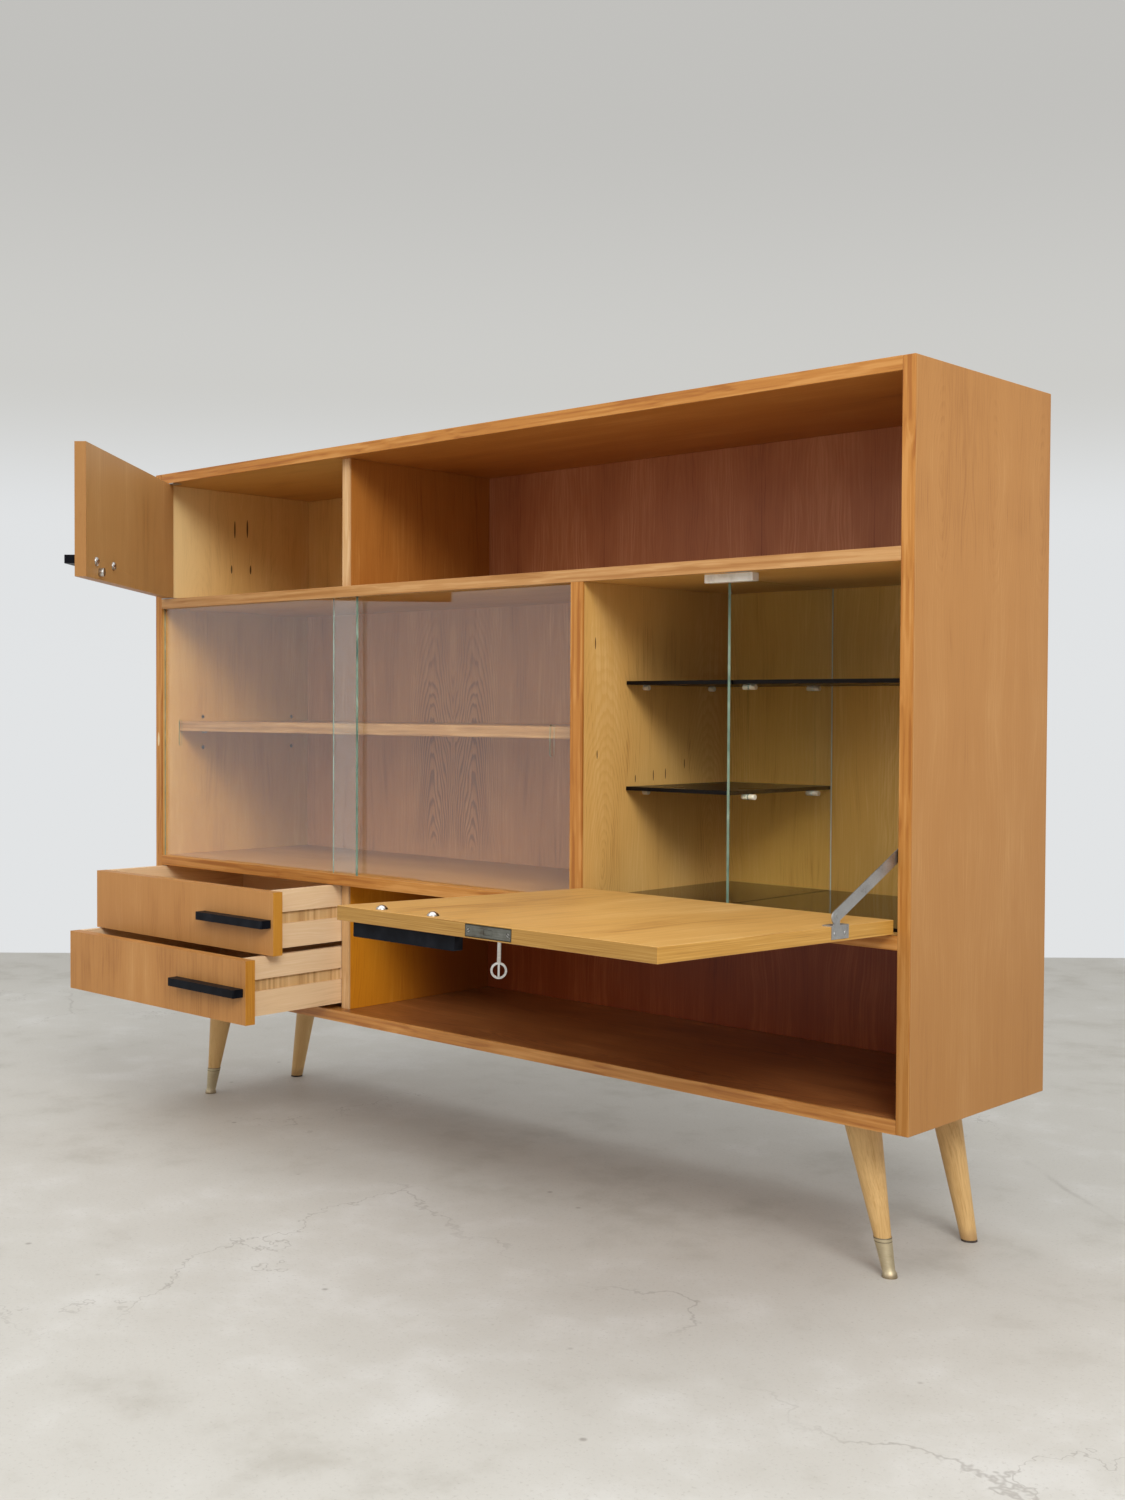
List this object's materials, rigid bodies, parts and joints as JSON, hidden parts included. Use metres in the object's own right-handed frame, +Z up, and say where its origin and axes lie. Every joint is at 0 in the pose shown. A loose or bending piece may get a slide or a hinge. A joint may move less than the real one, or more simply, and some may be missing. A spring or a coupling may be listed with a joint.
{
  "type": "buffet hutch",
  "caption": "Mid-century wooden highboard on splayed legs with sliding glass, drop-flap bar cabinet, drawers, small hinged door and open shelves.",
  "frame": {"origin": "on the floor, under the middle of the whole outline as it stands with the flap, drawers and small door open as in the picture", "axes": "+X to the right seen from the front, +Y from the front to the back, +Z up"},
  "size_m": [1.7, 0.8458, 1.218],
  "materials": {
    "veneer": "satin",
    "back_veneer": "satin",
    "leg_wood": "satin",
    "beech": "satin",
    "black_handle": "satin black lacquer",
    "clear_glass": "polished",
    "black_glass": "polished",
    "cream_plastic": "matte",
    "brass": "aged",
    "rubber": "matte",
    "steel": "brushed",
    "chrome": "polished",
    "nickel": "worn nickel"
  },
  "bodies": {
    "carcass": {"left_side": "veneer", "right_side": "veneer", "bottom_board": "veneer", "lower_shelf": "veneer", "middle_shelf": "veneer", "top_board": "veneer", "upper_divider": "veneer", "bar_divider": "veneer", "drawer_divider": "veneer", "back_panel": "back_veneer", "front_left_leg": "leg_wood", "rear_left_leg": "leg_wood", "front_right_leg": "leg_wood", "rear_right_leg": "leg_wood", "front_ferrules": "brass", "rear_leg_soles": "rubber", "display_shelf": "veneer", "display_shelf_pins": "steel", "bar_floor_left": "black_glass", "bar_floor_right": "black_glass", "bar_partition": "clear_glass", "bar_shelf_upper_left": "black_glass", "bar_shelf_upper_right": "black_glass", "bar_shelf_lower": "black_glass", "bar_shelf_pegs": "cream_plastic", "door_pivots": "steel", "door_catch_plate": "cream_plastic", "drawer_runners": "beech", "flap_stop_block": "cream_plastic", "carcass_hinge_leaves": "steel", "lock_strike_plate": "steel", "stay_rail": "steel"},
    "upper_door": {"upper_door": "veneer", "door_handle": "black_handle", "door_handle_screws": "chrome", "door_catch_stud": "chrome"},
    "glass_left": {"glass_left": "clear_glass"},
    "glass_right": {"glass_right": "clear_glass"},
    "drawer_upper": {"upper_drawer_front": "veneer", "upper_drawer_left_side": "beech", "upper_drawer_right_side": "beech", "upper_drawer_back": "beech", "upper_drawer_bottom": "beech", "upper_drawer_handle": "black_handle"},
    "drawer_lower": {"lower_drawer_front": "veneer", "lower_drawer_left_side": "beech", "lower_drawer_right_side": "beech", "lower_drawer_back": "beech", "lower_drawer_bottom": "beech", "lower_drawer_handle": "black_handle"},
    "flap": {"flap": "veneer", "flap_handle": "black_handle", "flap_handle_screws": "chrome", "flap_hinge_leaves": "steel", "flap_lock": "steel", "stay_bracket": "steel"},
    "stay_arm": {"stay_arm": "steel"},
    "key": {"key": "nickel"},
    "lock_bolt": {"lock_bolt": "steel"}
  },
  "joints": [
    {"name": "upper_door_hinge", "type": "hinge", "parent": "carcass", "child": "upper_door", "pos_m": [-0.8245, 0.05989, 0.975], "axis": [0, 0, -1], "range_deg": [-48.75, 43.25]},
    {"name": "glass_left_slide", "type": "slide", "parent": "carcass", "child": "glass_left", "axis": [1, 0, 0], "range_m": [0, 0.508]},
    {"name": "glass_right_slide", "type": "slide", "parent": "carcass", "child": "glass_right", "axis": [-1, 0, 0], "range_m": [0, 0.508]},
    {"name": "upper_drawer_slide", "type": "slide", "parent": "carcass", "child": "drawer_upper", "axis": [0, -1, 0], "range_m": [-0.1449, 0.1351]},
    {"name": "lower_drawer_slide", "type": "slide", "parent": "carcass", "child": "drawer_lower", "axis": [0, -1, 0], "range_m": [-0.2016, 0.0784]},
    {"name": "flap_hinge", "type": "hinge", "parent": "carcass", "child": "flap", "pos_m": [0.5565, 0.05389, 0.4745], "axis": [-1, 0, 0], "range_deg": [0, 88.4]},
    {"name": "stay_arm_pivot", "type": "hinge", "parent": "flap", "child": "stay_arm", "pos_m": [0.8283, -0.0771, 0.51247], "axis": [1, 0, 0], "range_deg": [0, 141.75]},
    {"name": "key_turn", "type": "hinge", "parent": "flap", "child": "key", "pos_m": [0.5655, -0.4029, 0.48826], "axis": [0, 0.0279, 0.9996], "range_deg": [0, 180]},
    {"name": "lock_bolt_slide", "type": "slide", "parent": "flap", "child": "lock_bolt", "axis": [0, -0.9996, 0.0279], "range_m": [0, 0.0081]}
  ],
  "couplings": [
    {"joint": "stay_arm_pivot", "follows": "flap_hinge", "ratio": 1.603},
    {"joint": "lock_bolt_slide", "follows": "key_turn", "m_per_rad": 0.0025465}
  ]
}
